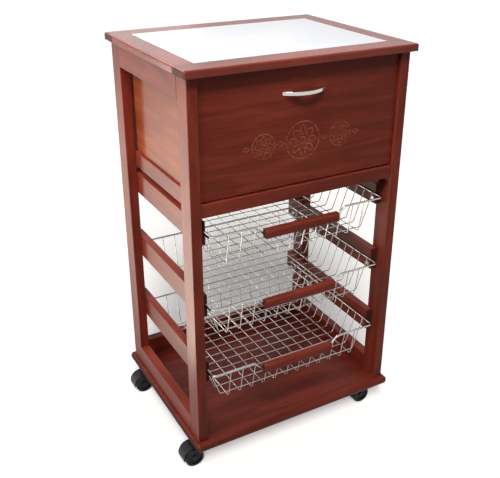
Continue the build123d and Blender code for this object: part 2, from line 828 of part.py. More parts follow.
for place_name, (swivel_x, swivel_y) in caster_places.items():
    axle_x = swivel_x - caster_trail
    axle_centre = (axle_x, swivel_y, wheel_radius)
    side_view = Plane(origin=axle_centre, x_dir=(1, 0, 0), z_dir=(0, -1, 0))
    axle_section = Plane(origin=axle_centre, x_dir=(0, 1, 0), z_dir=(1, 0, 0))
    axle_axis = Axis(axle_centre, (0, 1, 0))

    # Hood: a drum over the wheels, open at its sides and cut away below, with a web and a swivel boss
    with BuildPart() as hood:
        with BuildSketch(axle_section):
            with BuildLine():
                FilletPolyline(
                    (-hood_half, 0),
                    (-hood_half, hood_radius),
                    (hood_half, hood_radius),
                    (hood_half, 0),
                    radius=hood_edge,
                )
                Line((hood_half, 0), (-hood_half, 0))
            make_face()
        revolve(axis=axle_axis)
        for side in SIDES.values():
            with BuildSketch(side_view.offset(side * web_thick / 2)):
                Circle(cavity_radius)
            extrude(amount=side * hood_half, mode=Mode.SUBTRACT)
        cut_normal = (-math.sin(math.radians(hood_tilt)), 0, math.cos(math.radians(hood_tilt)))
        cut_point = (axle_x + hood_cut * cut_normal[0], swivel_y, wheel_radius + hood_cut * cut_normal[2])
        split(bisect_by=facing(cut_point, cut_normal), keep=Keep.TOP)
        with BuildSketch(side_view):
            Circle(web_diameter / 2)
            with BuildLine():
                boss_left = caster_trail - boss_diameter / 2
                boss_right = caster_trail + boss_diameter / 2
                boss_foot = boss_base - wheel_radius
                Polyline(
                    (0, -web_diameter / 2),
                    (boss_right, boss_foot - boss_diameter / 2),
                    (boss_right, boss_foot),
                    (boss_left, boss_foot),
                    (0, cavity_radius),
                    (-cavity_radius, 0),
                    close=True,
                )
            make_face()
        extrude(amount=web_thick / 2, both=True)
        with Locations((swivel_x, swivel_y, boss_base)):
            Cylinder(boss_diameter / 2, boss_top - boss_base, align=(Align.CENTER, Align.CENTER, Align.MIN))
        with Locations(facing((swivel_x, swivel_y, boss_top), (0, 0, 1))):
            Hole(stem_diameter / 2 + running_gap, boss_top - stem_tip + stem_end_gap)
        with BuildSketch(side_view):
            Circle(axle_diameter / 2 + running_gap)
        extrude(amount=web_thick / 2, both=True, mode=Mode.SUBTRACT)
    save(hood.part, f"{place_name}_caster_hood")

    # Wheel set: a dished wheel pressed on each end of the axle
    with BuildPart() as wheels:
        for side in SIDES.values():
            with BuildSketch(axle_section) as wheel_section:
                with BuildLine():
                    bore = axle_diameter / 2 + hole_gap / 2
                    bore_end = wheel_outer - axle_end_cap
                    dish_floor = wheel_outer - wheel_dish
                    Polyline(
                        (side * wheel_inner, bore),
                        (side * wheel_inner, wheel_radius),
                        (side * wheel_outer, wheel_radius),
                        (side * wheel_outer, wheel_dish_diameter / 2),
                        (side * dish_floor, wheel_dish_diameter / 2),
                        (side * dish_floor, wheel_hub_diameter / 2),
                        (side * wheel_outer, wheel_hub_diameter / 2),
                        (side * wheel_outer, 0),
                        (side * bore_end, 0),
                        (side * bore_end, bore),
                        close=True,
                    )
                make_face()
                fillet(wheel_section.vertices().group_by(Axis.Y)[-1], wheel_tread_round)
            revolve(axis=axle_axis)
        with BuildSketch(side_view):
            Circle(axle_diameter / 2)
        extrude(amount=bore_end - axle_end_gap, both=True)
    save(wheels.part, f"{place_name}_caster_wheels")
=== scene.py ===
"""Finishes and small pieces of a rolling bread cart, laid round its fixed frame.

The frame is in metres: X to the right, Y to the back, Z up, with the floor at zero.
"""

import math

import bpy
from bpy.props import FloatProperty, FloatVectorProperty, IntProperty, PointerProperty
from mathutils import Matrix, Vector


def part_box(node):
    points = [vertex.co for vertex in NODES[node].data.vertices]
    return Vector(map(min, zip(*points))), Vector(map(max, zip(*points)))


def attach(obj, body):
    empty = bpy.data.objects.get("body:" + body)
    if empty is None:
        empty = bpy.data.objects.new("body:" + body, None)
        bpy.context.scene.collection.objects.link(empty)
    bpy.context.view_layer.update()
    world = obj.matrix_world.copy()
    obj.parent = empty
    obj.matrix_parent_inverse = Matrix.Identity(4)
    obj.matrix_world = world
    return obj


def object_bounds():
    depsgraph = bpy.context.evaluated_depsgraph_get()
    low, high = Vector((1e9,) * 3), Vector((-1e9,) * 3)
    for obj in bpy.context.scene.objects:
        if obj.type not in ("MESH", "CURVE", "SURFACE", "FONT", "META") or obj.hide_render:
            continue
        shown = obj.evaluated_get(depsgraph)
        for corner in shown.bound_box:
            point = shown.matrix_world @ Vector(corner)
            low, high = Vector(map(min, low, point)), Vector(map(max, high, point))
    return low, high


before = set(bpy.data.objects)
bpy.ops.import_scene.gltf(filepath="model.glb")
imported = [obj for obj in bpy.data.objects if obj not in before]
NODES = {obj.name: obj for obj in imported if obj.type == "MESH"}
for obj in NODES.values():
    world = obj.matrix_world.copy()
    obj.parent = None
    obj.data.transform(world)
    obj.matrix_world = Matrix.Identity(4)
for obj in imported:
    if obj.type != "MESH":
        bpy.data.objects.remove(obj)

bl_info = {
    "name": "Rolling bread cart",
    "version": (1, 0, 0),
    "blender": (4, 5, 0),
    "location": "3D View > Sidebar > Bread cart",
    "description": "Lacquered wood, chrome wire and moulded casters for a rolling bread cart",
    "category": "Object",
}

CAD_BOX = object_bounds()
SIDES = ("left", "right")
ENDS = ("front", "rear")
LEVELS = ("lower", "middle", "upper")
CORNERS = tuple(f"{end}_{side}" for end in ENDS for side in SIDES)
IMAGE_WIDTH = 500
IMAGE_HEIGHT = 478
SENSOR_WIDTH = 36.0
UP = Vector((0, 0, 1))
WHITE = (1, 1, 1, 1)


def linear(value):
    """One channel of a display colour, from eight bits to scene-linear."""
    level = value / 255
    return level / 12.92 if level <= 0.04045 else ((level + 0.055) / 1.055) ** 2.4


def paint(red, green, blue):
    """A scene-linear colour from eight-bit display values."""
    return (linear(red), linear(green), linear(blue))


def colour(name, description, default):
    """A colour that a user can change."""
    return FloatVectorProperty(
        name=name, description=description, default=default, subtype="COLOR", size=3, min=0, max=1
    )


def number(name, description, default):
    """A plain number that a user can change."""
    return FloatProperty(name=name, description=description, default=default)


def share(name, description, default):
    """A share from nought to one that a user can change."""
    return FloatProperty(
        name=name, description=description, default=default, min=0, max=1, subtype="FACTOR"
    )


def length(name, description, default):
    """A length in metres that a user can change."""
    return FloatProperty(
        name=name, description=description, default=default, unit="LENGTH", precision=5
    )


def place(name, description, default):
    """A place in the frame that a user can change."""
    return FloatVectorProperty(
        name=name, description=description, default=default, subtype="XYZ", unit="LENGTH", size=3
    )


def angle(name, description, degrees):
    """An angle that a user can change, written here in degrees."""
    return FloatProperty(
        name=name, description=description, default=math.radians(degrees), subtype="ANGLE"
    )


def pixels(name, description, default):
    """A measure in picture pixels that a user can change."""
    return FloatProperty(name=name, description=description, default=default, subtype="PIXEL")


def watts(name, description, default):
    """A lamp's power that a user can change."""
    return FloatProperty(name=name, description=description, default=default, min=0, unit="POWER")


class CartWood(bpy.types.PropertyGroup):
    """Stain, grain and lacquer of the wooden pieces."""

    stain_dark: colour("Dark stain", "Stain in the late wood of the grain", paint(108, 41, 29))
    stain_middle: colour("Middle stain", "Stain over most of the wood", paint(129, 51, 37))
    stain_light: colour("Light stain", "Stain in the early wood of the grain", paint(148, 63, 46))
    end_grain: colour("End grain", "Stain that soaks into the cut ends", paint(60, 39, 38))
    shelf_dark: colour("Dark shelf stain", "Dark bands of the bottom shelf", paint(92, 34, 25))
    shelf_middle: colour("Middle shelf stain", "Most of the bottom shelf", paint(112, 43, 32))
    shelf_light: colour("Light shelf stain", "Light bands of the bottom shelf", paint(129, 54, 40))
    panel_dark: colour("Dark veneer", "Dark bands of the thin panels", paint(126, 53, 29))
    panel_middle: colour("Middle veneer", "Most of the thin panels", paint(156, 74, 44))
    panel_light: colour("Light veneer", "Light bands of the thin panels", paint(178, 93, 58))
    beech: colour("Dowel wood", "Plain wood of the dowels", paint(200, 164, 116))
    beech_shade: share("Dowel shade", "Brightness of the dowels' dark grain against the rest", 0.75)
    late_share: share("Late wood", "Share of the growth lines in the stain's tone", 0.3)
    fibre_share: share("Fibres", "Share of the fibres in the stain's tone", 0.36)
    cloud_share: share("Cloudiness", "Share of the clouds in the stain's tone", 0.34)
    pore_depth: share("Pore depth", "How far the pores turn to the dark stain", 0.45)
    edge_wear: share("Edge wear", "How much lighter the rounded edges are rubbed", 0.12)
    edge_width: length("Edge width", "How far the wear reaches from an edge", 0.0035)
    edge_bare: length("Edge bare", "How far from an edge the wear is at its fullest", 0.0004)
    lacquer_roughness: share("Lacquer roughness", "Roughness of the lacquer on flat faces", 0.36)
    lacquer_gloss: share("Lacquer gloss", "Strength of the lacquer's reflection", 0.13)
    top_gloss: share("Worktop gloss", "Strength of the reflection in the worktop's border", 0.2)
    top_roughness: share("Worktop roughness", "Roughness of the worktop's border", 0.22)
    fibre_roughness: share("Fibre roughness", "Roughness that the fibres add", 0.07)
    pore_roughness: share("Pore roughness", "Roughness that the pores add", 0.08)
    wear_roughness: share("Wear roughness", "Roughness that rubbed edges add", 0.25)
    end_roughness: share("End roughness", "Roughness that the cut ends add", 0.4)
    figure_along: number("Figure along", "Grain waves per metre along a piece", 1.6)
    figure_across: number("Figure across", "Grain waves per metre across a piece", 15)
    fibre_along: number("Fibres along", "Fibres per metre along a piece", 16)
    fibre_across: number("Fibres across", "Fibres per metre across a piece", 520)
    pore_along: number("Pores along", "Pores per metre along a piece", 38.4)
    pore_across: number("Pores across", "Pores per metre across a piece", 988)
    clouds: number("Clouds", "Cloudy patches of stain per metre", 5)
    rings: number("Rings", "Turn of the growth lines over the range of the figure, in radians", 34)
    relief: length("Relief", "Height of the grain under the lacquer", 0.0003)


class CartMetal(bpy.types.PropertyGroup):
    """Plated wire, chrome and zinc."""

    wire: colour("Wire plating", "Bright plating of the basket wires", paint(186, 181, 178))
    wire_roughness: share("Wire roughness", "Roughness of the plated wire", 0.2)
    wire_tarnish: share("Wire tarnish", "How much the haze darkens the wire", 0.25)
    chrome: colour("Handle chrome", "Polished chrome of the door handle", paint(204, 199, 198))
    chrome_roughness: share("Chrome roughness", "Roughness of the handle", 0.09)
    chrome_tarnish: share("Chrome tarnish", "How much the haze darkens the handle", 0.08)
    zinc: colour("Zinc", "Zinc plating of plates, pins and screws", paint(170, 172, 176))
    zinc_roughness: share("Zinc roughness", "Roughness of the zinc", 0.34)
    zinc_tarnish: share("Zinc tarnish", "How much the haze darkens the zinc", 0.3)
    haze: number("Haze", "Patches of haze per metre on the plating", 38)
    haze_roughness: share("Haze roughness", "Roughness that the haze adds", 0.08)
    draw_lines: number("Draw lines", "Draw lines per metre on the plating", 900)
    draw_relief: length("Draw relief", "Height of the draw lines", 0.0001)


class CartLaminate(bpy.types.PropertyGroup):
    """White laminate of the worktop inset."""

    white: colour("Laminate", "White of the worktop inset", paint(238, 241, 247))
    shade: colour("Laminate shade", "Faint cloud in the white inset", paint(228, 232, 241))
    roughness: share("Laminate roughness", "Roughness of the white inset", 0.22)
    clouds: number("Laminate clouds", "Faint clouds per metre in the inset", 7)
    cloud_roughness: share("Cloud roughness", "Roughness that the clouds add to the inset", 0.06)
    peel: number("Orange peel", "Dimples per metre in the inset's gloss", 420)
    peel_relief: length("Peel relief", "Height of the dimples", 0.0002)


class CartPlastic(bpy.types.PropertyGroup):
    """Moulded plastic of the casters and the catch."""

    hood: colour("Caster hood", "Black of the hoods", paint(30, 30, 34))
    hood_roughness: share("Hood roughness", "Roughness of the hoods", 0.3)
    wheel: colour("Caster wheel", "Black of the wheels", paint(24, 24, 26))
    wheel_roughness: share("Wheel roughness", "Roughness of the wheels", 0.42)
    scuff: colour("Wheel scuff", "Grey dust on the wheels", paint(52, 51, 50))
    scuff_cover: share("Scuff cover", "How much of the wheels' black the dust hides", 0.5)
    catch: colour("Catch", "Brown of the magnetic catch", paint(66, 42, 32))
    catch_roughness: share("Catch roughness", "Roughness of the catch", 0.45)
    gloss: share("Plastic gloss", "Strength of the plastic's reflection", 0.2)
    clouds: number("Clouds", "Paler patches per metre", 60)
    cloud_tone: number("Cloud tone", "Brightness of the paler patches against the rest", 1.35)
    cloud_roughness: share("Cloud roughness", "Roughness that the paler patches add", 0.12)
    sparks: number("Sparks", "Grains per metre in the mould's spark texture", 1300)
    spark_relief: length("Spark relief", "Height of the spark texture", 0.0002)


class CartOrnament(bpy.types.PropertyGroup):
    """A row of three rosettes and four lozenges, etched in the door."""

    height: length("Height", "Height of the ornament's middle above the floor", 0.664)
    ring: length("Ring", "Diameter of the ring round the middle rosette", 0.072)
    line: length("Line", "Width of an etched line", 0.0026)
    fine_line: share("Fine line", "Width of the petals' and lozenges' lines against a full line", 0.8)
    proud: length("Proud", "How far the etched grain stands out of the door", 0.00012)
    sunk: length("Sunk", "How far the lines reach into the door", 0.0004)
    petals: IntProperty(name="Petals", description="Petals of a rosette", default=8)
    petal_long: share("Petal length", "Length of a petal against the ring's radius", 0.58)
    petal_wide: share("Petal width", "Width of a petal against the ring's radius", 0.36)
    petal_start: share("Petal start", "Where a petal starts, against the ring's radius", 0.26)
    eye: share("Eye", "Diameter of a rosette's small ring against the large ring's radius", 0.4)
    side_scale: share("Side scale", "Size of the outer rosettes against the middle one", 0.66)
    side_place: length("Side place", "Distance of the outer rosettes from the middle one", 0.081)
    lozenge: length("Lozenge", "Length of a lozenge", 0.018)
    lozenge_wide: share("Lozenge width", "Width of a lozenge against its length", 0.6)
    etched: colour("Etched wood", "Pale wood of the etched lines", paint(190, 122, 96))
    roughness: share("Etched roughness", "Roughness of the etched lines", 0.6)
    worn_roughness: share("Worn roughness", "Roughness that the worn patches add", 0.2)
    worn: number("Worn patches", "Patches per metre where the stain shows through", 140)
    fibre_along: number("Fibres along", "Fibres per metre along the etched lines' wood", 16)
    fibre_across: number("Fibres across", "Fibres per metre across it", 420)
    relief: length("Etched relief", "Height of the etched fibres", 0.0002)


class CartStage(bpy.types.PropertyGroup):
    """Camera, lamps and floor."""

    camera: place("Camera", "Place of the camera", (-0.6823, -1.2076, 1.0771))
    azimuth: angle("Azimuth", "Turn of the camera round the cart", -29.92)
    elevation: angle("Elevation", "Camera's height angle", 25.01)
    roll: angle("Roll", "Camera's tilt about its own axis", 0.43)
    focal: pixels("Focal length", "Focal length in the picture", 726.7)
    centre_x: pixels("Centre across", "Lens centre from the picture's left side", 261.5)
    centre_y: pixels("Centre down", "Lens centre from the picture's top", 223.8)
    floor: colour("Floor", "Pale floor, as it is seen", (0.96, 0.96, 0.96))
    floor_bounce: colour("Floor bounce", "Light that the floor throws back", (0.13, 0.125, 0.12))
    floor_size: length("Floor size", "Side of the square floor", 40.0)
    floor_glow: share("Floor glow", "Brightness that keeps the floor white and its shadows soft", 0.24)
    ambient: share("Ambient light", "Brightness of the surroundings on the cart", 0.08)
    key_place: place("Key place", "Middle of the key light on the cart", (-0.75, -1.35, 2.75))
    key_aim: place("Key aim", "Point at which the key light shines", (-0.05, -0.17, 0.66))
    key_size: length("Key size", "Side of the key light", 0.5)
    key_spread: angle("Key spread", "Opening of the key light's beam", 36)
    key_power: watts("Key power", "Power of the key light", 1.5)
    sun_turn: angle("Sun turn", "Turn of the floor's light round the cart", -30)
    sun_spread: angle("Sun spread", "Softness of the floor's light", 18)
    high_rise: angle("High rise", "Height angle of the floor's high light", 57)
    high_power: number("High power", "Strength of the floor's high light", 1.2)
    low_rise: angle("Low rise", "Height angle of the floor's low light", 42)
    low_power: number("Low power", "Strength of the floor's low light", 2.2)
    ceiling_place: place("Ceiling place", "Middle of the light above the cart", (0.1, 0.3, 2.8))
    ceiling_size: length("Ceiling size", "Side of the light above the cart", 0.8)
    ceiling_power: watts("Ceiling power", "Power of the light above the cart", 8)
    window_place: place("Window place", "Middle of the window light at the left", (-1.5, -0.3, 1.7))
    window_size: length("Window size", "Side of the window light", 1.4)
    window_power: watts("Window power", "Power of the window light", 36)
    sheen_place: place("Sheen place", "Middle of the left side's gleaming strip", (-1.12, 1.61, 0.02))
    sheen_wide: length("Sheen width", "Width of the gleaming strip", 0.36)
    sheen_long: length("Sheen length", "Length of the gleaming strip", 3.24)
    sheen_turn: angle("Sheen turn", "Turn of the strip's length from the Y axis", 21)
    sheen_power: watts("Sheen power", "Power of the gleaming strip", 44)
    sheen_tint: colour("Sheen tint", "Colour of the gleaming strip", (1.0, 0.9, 0.76))
    edge_place: place("Edge place", "Middle of the light that gleams in the border", (-0.7, 1.8, 2.15))
    edge_size: length("Edge size", "Side of the light that gleams in the border", 1.2)
    edge_power: watts("Edge power", "Power of the light that gleams in the border", 34)
    fill_place: place("Fill place", "Middle of the low fill light behind the cart", (2.2, 2.4, 0.6))
    fill_size: length("Fill size", "Side of the fill light", 1.6)
    fill_power: watts("Fill power", "Power of the fill light", 24)
    glint_place: place("Glint place", "Middle of the light that gleams in the inset", (0.64, 2.3, 1.33))
    glint_size: length("Glint size", "Side of the light that gleams in the inset", 0.5)
    glint_power: watts("Glint power", "Power of the light that gleams in the inset", 0.6)
    lamp_tint: colour("Lamp tint", "Colour of the soft lights", (1.0, 0.97, 0.93))


def settings(group):
    """The values that a user set for one group of pieces."""
    return getattr(bpy.context.scene, group)


class Tap:
    """A node's output that takes part in arithmetic: each operation adds a Math node."""

    def __init__(self, recipe, socket):
        self.recipe = recipe
        self.socket = socket

    def _math(self, operation, left, right=0.0):
        return self.recipe.node("ShaderNodeMath", {"operation": operation}, {0: left, 1: right})

    def __add__(self, other):
        return self._math("ADD", self, other)

    def __radd__(self, other):
        return self._math("ADD", other, self)

    def __sub__(self, other):
        return self._math("SUBTRACT", self, other)

    def __rsub__(self, other):
        return self._math("SUBTRACT", other, self)

    def __mul__(self, other):
        return self._math("MULTIPLY", self, other)

    def __rmul__(self, other):
        return self._math("MULTIPLY", other, self)

    def __abs__(self):
        return self._math("ABSOLUTE", self)

    def sine(self):
        """Sine of the value, in radians."""
        return self._math("SINE", self)

    def least(self, other):
        """The smaller of two values."""
        return self._math("MINIMUM", self, other)

    def most(self, other):
        """The larger of two values."""
        return self._math("MAXIMUM", self, other)


class Recipe:
    """The node tree of a material or of the surroundings."""

    def __init__(self, owner, shader="Principled BSDF"):
        owner.use_nodes = True
        self.owner = owner
        self.tree = owner.node_tree
        self.shader = self.tree.nodes[shader]

    def feed(self, socket, value):
        """Link a tap to a socket, or set the socket's own value."""
        if isinstance(value, Tap):
            self.tree.links.new(value.socket, socket)
        else:
            socket.default_value = value

    def node(self, kind, choices=None, inputs=None, output=0):
        """Add a node: its settings first, then the values or links of its sockets."""
        made = self.tree.nodes.new(kind)
        for name, value in (choices or {}).items():
            if name == "stops":
                ramp = made.color_ramp.elements
                while len(ramp) < len(value):
                    ramp.new(1.0)
                for element, (position, tone) in zip(ramp, value):
                    element.position = position
                    element.color = (*tone, 1)
            else:
                setattr(made, name, value)
        for socket, value in (inputs or {}).items():
            self.feed(made.inputs[socket], value)
        return Tap(self, made.outputs[output])

    def surface(self, **inputs):
        """Set the shader's sockets, named with underscores for spaces."""
        for name, value in inputs.items():
            self.feed(self.shader.inputs[name.replace("_", " ")], value)
        return self.owner

    def place(self, scale, shift=(0, 0, 0)):
        """Object coordinates, stretched and shifted."""
        here = self.node("ShaderNodeTexCoord", output="Object")
        inputs = {"Vector": here, "Scale": scale, "Location": shift}
        return self.node("ShaderNodeMapping", inputs=inputs)

    def noise(self, where, detail, roughness=0.5, distortion=0.0):
        """Smooth noise from about nought to one."""
        inputs = {
            "Vector": where,
            "Scale": 1.0,
            "Detail": detail,
            "Roughness": roughness,
            "Distortion": distortion,
        }
        return self.node("ShaderNodeTexNoise", inputs=inputs)

    def spread(self, value, low, high, to_low=0.0, to_high=1.0):
        """A value eased from one range into another."""
        inputs = {"Value": value, 1: low, 2: high, 3: to_low, 4: to_high}
        return self.node("ShaderNodeMapRange", {"interpolation_type": "SMOOTHSTEP"}, inputs)

    def blend(self, factor, first, second):
        """One colour turning into another."""
        first = first if isinstance(first, Tap) else (*first, 1)
        second = second if isinstance(second, Tap) else (*second, 1)
        inputs = {0: factor, 6: first, 7: second}
        return self.node("ShaderNodeMix", {"data_type": "RGBA"}, inputs, output=2)

    def bump(self, height, strength, distance):
        """A normal from a height."""
        inputs = {"Height": height, "Strength": strength, "Distance": distance}
        return self.node("ShaderNodeBump", inputs=inputs)

    def parts(self, vector):
        """The three numbers of a vector."""
        split = self.node("ShaderNodeSeparateXYZ", inputs={0: vector})
        return [Tap(self, output) for output in split.socket.node.outputs]

    def facing(self, axis):
        """How squarely a surface faces along an axis of the piece, either way: one when it does."""
        normal = self.node("ShaderNodeTexCoord", output="Normal")
        return abs(self.parts(normal)[axis])

    def edge_distance(self, low, high):
        """Distance along a block's surface from its nearest edge.

        It is the middle one of the distances from the block's three pairs of faces.
        """
        middle = (low + high) / 2
        half = (high - low) / 2
        here = self.parts(self.node("ShaderNodeTexCoord", output="Object"))
        to_face = [half[i] - abs(here[i] - middle[i]) for i in range(3)]
        low_pair = to_face[0].least(to_face[1])
        high_pair = to_face[0].most(to_face[1])
        return low_pair.most(high_pair.least(to_face[2]))


GRAIN_AXES = {"X": 0, "Y": 1, "Z": 2}
# Shift of the grain from one piece of wood to the next, and the places of its three tones in the ramp
LOG_STEPS = (1.37, 2.11, 0.83)
TONE_PLACES = (0.12, 0.5, 0.9)
# How much each pattern of the wood adds to its relief or takes from it
FIBRE_RISE = 0.6
GROWTH_RISE = 0.3
PORE_SINK = 0.5
# Ranges of the noise over which the patterns fade in
LATE_WOOD_FADE = (0.1, 0.95)
FIBRE_FADE = (0.3, 0.7)
CLOUD_FADE = (0.3, 0.7)
PORE_FADE = (0.66, 0.74)
END_FADE = (0.6, 0.92)
LAMINATE_FADE = (0.35, 0.7)
HAZE_FADE = (0.4, 0.75)
MOULD_FADE = (0.35, 0.75)
SCUFF_FADE = (0.5, 0.8)
WORN_FADE = (0.42, 0.72)
# Such a range, and the shares of the cut ends' stain and of the edges' wear that it turns into
END_COVER = (0.2, 0.8, 0.65, 0.95)
WEAR_COVER = (0.25, 0.75, 0.5, 1.0)


def along_grain(grain, along, across):
    """Scale of a pattern that is long one way and fine the other two."""
    return tuple(along if axis == GRAIN_AXES[grain] else across for axis in range(3))


def even(per_metre):
    """Scale of a pattern that is alike all ways."""
    return (per_metre, per_metre, per_metre)


def stained_wood(node, grain, shades, order, gloss, roughness):
    """Stained and lacquered wood with its grain along one axis, from its own place in the log."""
    wood = settings("cart_wood")
    recipe = Recipe(bpy.data.materials.new(f"{node}_lacquer"))
    dark, middle, light = shades
    shift = tuple(step * order for step in LOG_STEPS)
    figure_scale = along_grain(grain, wood.figure_along, wood.figure_across)
    figure = recipe.noise(recipe.place(figure_scale, shift), detail=2.5, distortion=0.35)
    fibre_scale = along_grain(grain, wood.fibre_along, wood.fibre_across)
    fibre = recipe.noise(recipe.place(fibre_scale, shift), detail=3, roughness=0.6)
    pore_scale = along_grain(grain, wood.pore_along, wood.pore_across)
    pore = recipe.noise(recipe.place(pore_scale, shift), detail=1)
    cloud = recipe.noise(recipe.place(even(wood.clouds), shift), detail=2)

    growth = (figure * wood.rings).sine() * 0.5 + 0.5
    late_wood = recipe.spread(growth, *LATE_WOOD_FADE)
    fibres = recipe.spread(fibre, *FIBRE_FADE)
    clouds = recipe.spread(cloud, *CLOUD_FADE)
    tone = late_wood * wood.late_share + fibres * wood.fibre_share + clouds * wood.cloud_share
    stops = list(zip(TONE_PLACES, (dark, middle, light)))
    stained = recipe.node("ShaderNodeValToRGB", {"stops": stops}, {0: tone})

    pores = recipe.spread(pore, *PORE_FADE)
    porous = recipe.blend(pores * wood.pore_depth, stained, dark)
    soaked = recipe.spread(recipe.facing(GRAIN_AXES[grain]), *END_FADE)
    cut = recipe.blend(soaked * recipe.spread(fibre, *END_COVER), porous, tuple(wood.end_grain))
    low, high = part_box(node)
    from_edge = recipe.edge_distance(low, high)
    near_edge = recipe.spread(from_edge, wood.edge_bare, wood.edge_width, 1.0, 0.0)
    wear = near_edge * wood.edge_wear * recipe.spread(cloud, *WEAR_COVER)

    lacquer = roughness + fibres * wood.fibre_roughness + pores * wood.pore_roughness
    relief = fibre * FIBRE_RISE + growth * GROWTH_RISE - pores * PORE_SINK
    return recipe.surface(
        Base_Color=recipe.blend(wear, cut, light),
        Roughness=lacquer + wear * wood.wear_roughness + soaked * wood.end_roughness,
        Specular_IOR_Level=gloss,
        Normal=recipe.bump(relief, strength=0.06, distance=wood.relief),
    )


def white_laminate():
    """White laminate with a faint cloud and a very fine orange-peel gloss."""
    laminate = settings("cart_laminate")
    recipe = Recipe(bpy.data.materials.new("white_laminate_gloss"))
    cloud = recipe.noise(recipe.place(even(laminate.clouds)), detail=4)
    peel = recipe.noise(recipe.place(even(laminate.peel)), detail=2)
    clouds = recipe.spread(cloud, *LAMINATE_FADE)
    return recipe.surface(
        Base_Color=recipe.blend(clouds, tuple(laminate.white), tuple(laminate.shade)),
        Roughness=laminate.roughness + cloud * laminate.cloud_roughness,
        Normal=recipe.bump(peel, strength=0.04, distance=laminate.peel_relief),
    )


def plated_metal(name, tone, roughness, tarnish):
    """Plated metal with a faint haze and fine draw lines."""
    metal = settings("cart_metal")
    recipe = Recipe(bpy.data.materials.new(name))
    haze = recipe.noise(recipe.place(even(metal.haze)), detail=3)
    lines = recipe.noise(recipe.place(even(metal.draw_lines)), detail=2)
    dull = recipe.spread(haze, *HAZE_FADE)
    darker = tuple(value * (1 - tarnish) for value in tone)
    return recipe.surface(
        Base_Color=recipe.blend(dull, tuple(tone), darker),
        Metallic=1.0,
        Roughness=roughness + dull * metal.haze_roughness,
        Normal=recipe.bump(lines, strength=0.05, distance=metal.draw_relief),
    )


def moulded_plastic(name, tone, roughness, scuff=None):
    """Moulded plastic with paler patches, a fine spark texture and, on the wheels, dust."""
    plastic = settings("cart_plastic")
    recipe = Recipe(bpy.data.materials.new(name))
    spark = recipe.noise(recipe.place(even(plastic.sparks)), detail=2)
    cloud = recipe.noise(recipe.place(even(plastic.clouds)), detail=3)
    paler = tuple(value * plastic.cloud_tone for value in tone)
    tinted = recipe.blend(recipe.spread(cloud, *MOULD_FADE), tuple(tone), paler)
    if scuff is not None:
        dust = recipe.spread(cloud, *SCUFF_FADE) * plastic.scuff_cover
        tinted = recipe.blend(dust, tinted, tuple(scuff))
    return recipe.surface(
        Base_Color=tinted,
        Roughness=roughness + cloud * plastic.cloud_roughness,
        Specular_IOR_Level=plastic.gloss,
        Normal=recipe.bump(spark, strength=0.1, distance=plastic.spark_relief),
    )


def coat(node, material):
    """Give a frame node its finish."""
    slots = NODES[node].data.materials
    slots.clear()
    slots.append(material)


def stain(nodes, grain, shades, gloss=None, roughness=None):
    """Stain wooden nodes whose grain runs the same way, in plain lacquer unless told otherwise."""
    wood = settings("cart_wood")
    gloss = wood.lacquer_gloss if gloss is None else gloss
    roughness = wood.lacquer_roughness if roughness is None else roughness
    ordered = sorted(NODES)
    for node in nodes:
        coat(node, stained_wood(node, grain, shades, ordered.index(node), gloss, roughness))


def tones(finish):
    """The dark, middle and light tones of the solid wood's stain, the shelf or the thin panels."""
    wood = settings("cart_wood")
    return [tuple(getattr(wood, f"{finish}_{depth}")) for depth in ("dark", "middle", "light")]


class BREADCART_OT_frame(bpy.types.Operator):
    """Stain the posts, rails, runners and shelf along their length."""

    bl_idname = "breadcart.frame"
    bl_label = "Stain the frame"

    def execute(self, context):
        solid = tones("stain")
        stain([f"{corner}_post" for corner in CORNERS], "Z", solid)
        rails = ("apron", "bottom_rail", "box_rail")
        stain([f"{side}_{rail}" for side in SIDES for rail in rails], "Y", solid)
        stain([f"{side}_{level}_runner" for side in SIDES for level in LEVELS], "Y", solid)
        stain(["front_rail", "rear_bottom_rail"], "X", solid)
        stain(["bottom_shelf"], "X", tones("shelf"))
        return {"FINISHED"}


class BREADCART_OT_worktop(bpy.types.Operator):
    """Stain the worktop's border and give the inset its white laminate."""

    bl_idname = "breadcart.worktop"
    bl_label = "Finish the worktop"

    def execute(self, context):
        wood = settings("cart_wood")
        polish = (tones("stain"), wood.top_gloss, wood.top_roughness)
        stain([f"top_{end}_rail" for end in ENDS], "X", *polish)
        stain([f"top_{side}_rail" for side in SIDES], "Y", *polish)
        coat("worktop_inset", white_laminate())
        return {"FINISHED"}


class BREADCART_OT_bread_box(bpy.types.Operator):
    """Stain the door and the thin panels of the bread box."""

    bl_idname = "breadcart.bread_box"
    bl_label = "Finish the bread box"

    def execute(self, context):
        stain(["door_panel"], "X", tones("stain"))
        stain([f"{side}_side_panel" for side in SIDES] + ["box_floor"], "Y", tones("panel"))
        stain(["box_back_panel"], "X", tones("panel"))
        return {"FINISHED"}


class BREADCART_OT_baskets(bpy.types.Operator):
    """Plate the basket wires and stain their handle bars."""

    bl_idname = "breadcart.baskets"
    bl_label = "Finish the baskets"

    def execute(self, context):
        metal = settings("cart_metal")
        plating = plated_metal("wire_plating", metal.wire, metal.wire_roughness, metal.wire_tarnish)
        for level in LEVELS:
            for piece in ("rim", "cross_wires", "long_wires"):
                coat(f"{level}_basket_{piece}", plating)
        stain([f"{level}_basket_handle" for level in LEVELS], "X", tones("stain"))
        return {"FINISHED"}


